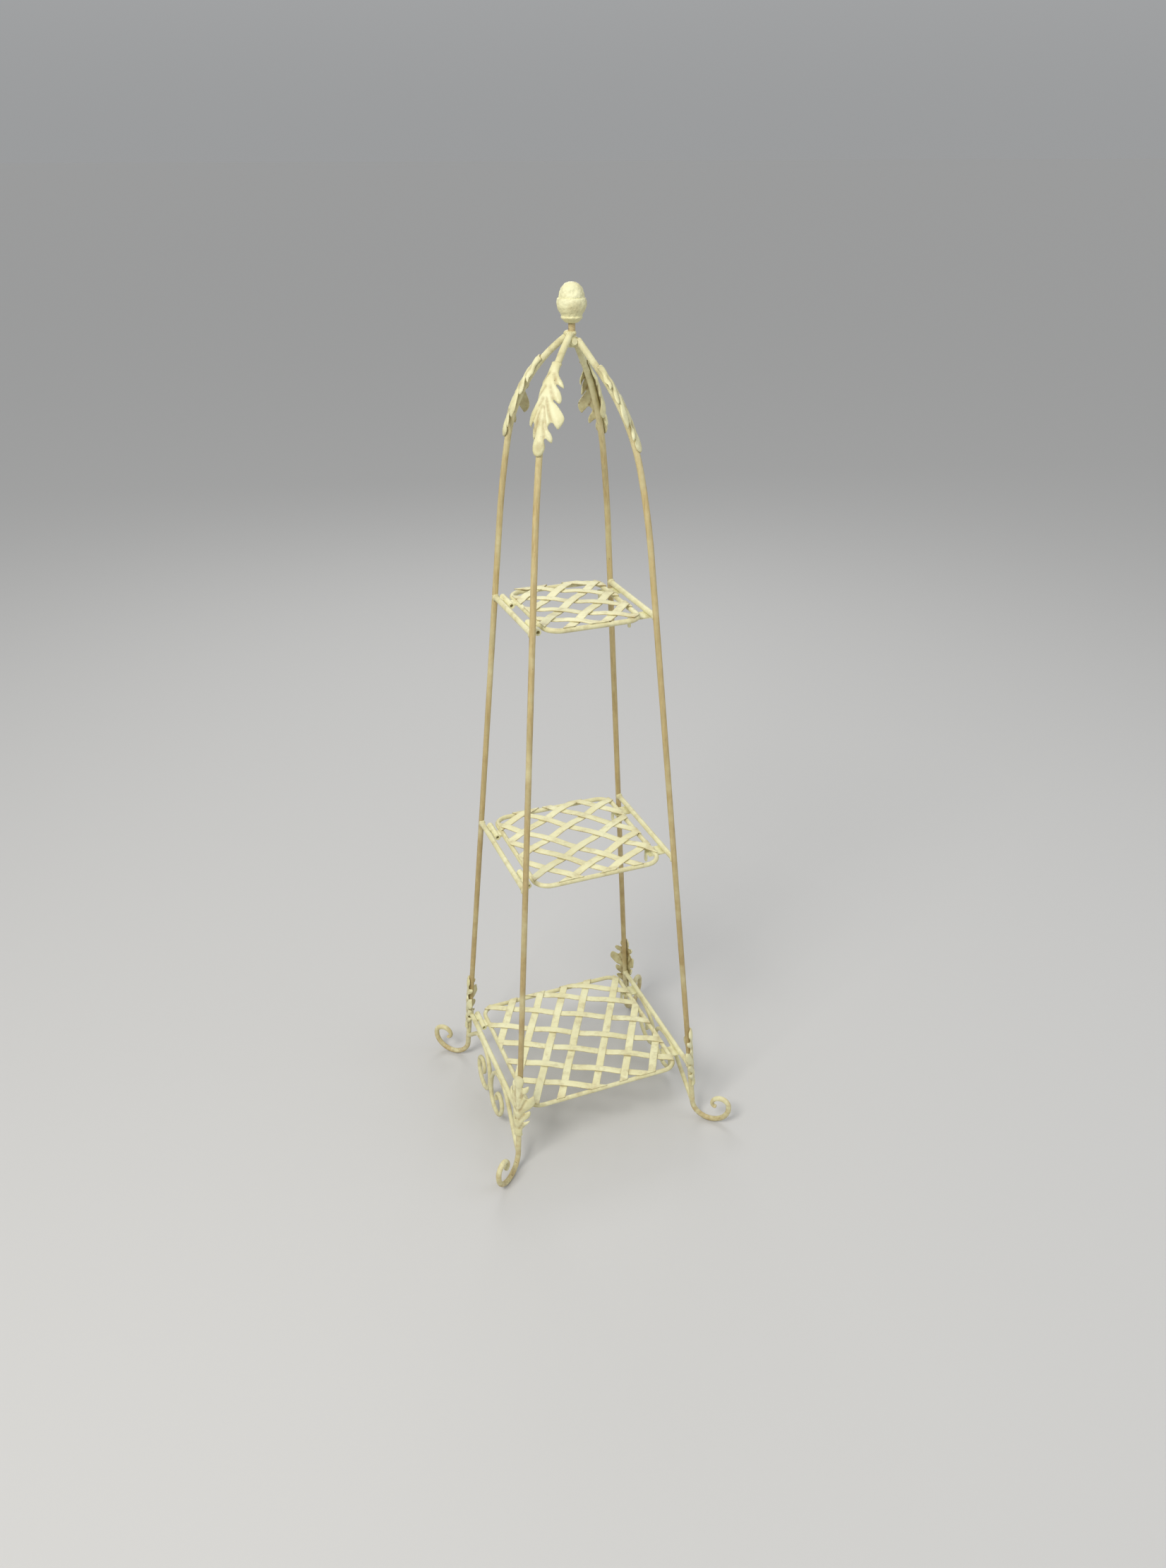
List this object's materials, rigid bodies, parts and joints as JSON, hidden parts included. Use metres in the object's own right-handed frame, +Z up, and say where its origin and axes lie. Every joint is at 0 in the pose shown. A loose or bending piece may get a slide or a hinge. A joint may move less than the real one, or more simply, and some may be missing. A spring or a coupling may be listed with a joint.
{
  "type": "garden obelisk",
  "caption": "Folding garden obelisk of bent steel rod with three woven strap shelves, leaf castings and scrolls on the legs, and an acorn finial over a pivot.",
  "frame": {"origin": "on the ground at the middle of the four feet, under the finial", "axes": "+Z up; +X from the left frame, which carries the shelf hinges, to the right frame, which carries the rest tabs; +Y from the front legs to the back legs"},
  "size_m": [0.3608, 0.3278, 1.14],
  "materials": {
    "cream_paint": "old cream paint, satin, chipped to rust at the edges",
    "aged_paint": "old cream paint yellowed and streaked with brown",
    "rusty_steel": "bare steel with a thin coat of rust"
  },
  "bodies": {
    "left_frame": {"leg_front": "aged_paint", "leg_left": "aged_paint", "upper_leaf_front": "cream_paint", "upper_leaf_left": "cream_paint", "lower_leaf_front": "cream_paint", "lower_leaf_left": "cream_paint", "left_bar_bottom": "cream_paint", "left_bar_middle": "cream_paint", "left_bar_top": "cream_paint", "apron_left_front": "cream_paint", "apron_left_back": "cream_paint", "apex_post": "cream_paint", "pivot_pin": "rusty_steel", "finial_stem": "rusty_steel", "acorn_cup": "cream_paint", "acorn_nut": "cream_paint", "bottom_bar_knuckles": "cream_paint", "bottom_hinge_pins": "rusty_steel", "middle_bar_knuckles": "cream_paint", "middle_hinge_pins": "rusty_steel", "top_bar_knuckles": "cream_paint", "top_hinge_pins": "rusty_steel"},
    "right_frame": {"leg_right": "aged_paint", "leg_back": "aged_paint", "upper_leaf_right": "cream_paint", "upper_leaf_back": "cream_paint", "lower_leaf_right": "cream_paint", "lower_leaf_back": "cream_paint", "right_bar_bottom": "cream_paint", "right_bar_middle": "cream_paint", "right_bar_top": "cream_paint", "apron_right_front": "cream_paint", "apron_right_back": "cream_paint", "lug_front": "cream_paint", "lug_back": "cream_paint", "bottom_rest_tabs": "cream_paint", "middle_rest_tabs": "cream_paint", "top_rest_tabs": "cream_paint"},
    "bottom_shelf": {"bottom_rim": "cream_paint", "bottom_straps_first": "cream_paint", "bottom_straps_second": "cream_paint", "bottom_shelf_knuckles": "cream_paint"},
    "middle_shelf": {"middle_rim": "cream_paint", "middle_straps_first": "cream_paint", "middle_straps_second": "cream_paint", "middle_shelf_knuckles": "cream_paint"},
    "top_shelf": {"top_rim": "cream_paint", "top_straps_first": "cream_paint", "top_straps_second": "cream_paint", "top_shelf_knuckles": "cream_paint"}
  },
  "joints": [
    {"name": "frame_fold", "type": "hinge", "parent": "left_frame", "child": "right_frame", "pos_m": [0, 0, 1.08], "axis": [0, 1, 0], "range_deg": [0, 5.7]},
    {"name": "bottom_shelf_lift", "type": "hinge", "parent": "left_frame", "child": "bottom_shelf", "pos_m": [-0.12239, 0, 0.094], "axis": [0, -1, 0], "range_deg": [0, 80]},
    {"name": "middle_shelf_lift", "type": "hinge", "parent": "left_frame", "child": "middle_shelf", "pos_m": [-0.09537, 0, 0.441], "axis": [0, -1, 0], "range_deg": [0, 80]},
    {"name": "top_shelf_lift", "type": "hinge", "parent": "left_frame", "child": "top_shelf", "pos_m": [-0.06937, 0, 0.775], "axis": [0, -1, 0], "range_deg": [0, 80]}
  ],
  "couplings": [
    {"joint": "bottom_shelf_lift", "follows": "frame_fold", "ratio": 14},
    {"joint": "middle_shelf_lift", "follows": "frame_fold", "ratio": 14},
    {"joint": "top_shelf_lift", "follows": "frame_fold", "ratio": 14}
  ]
}
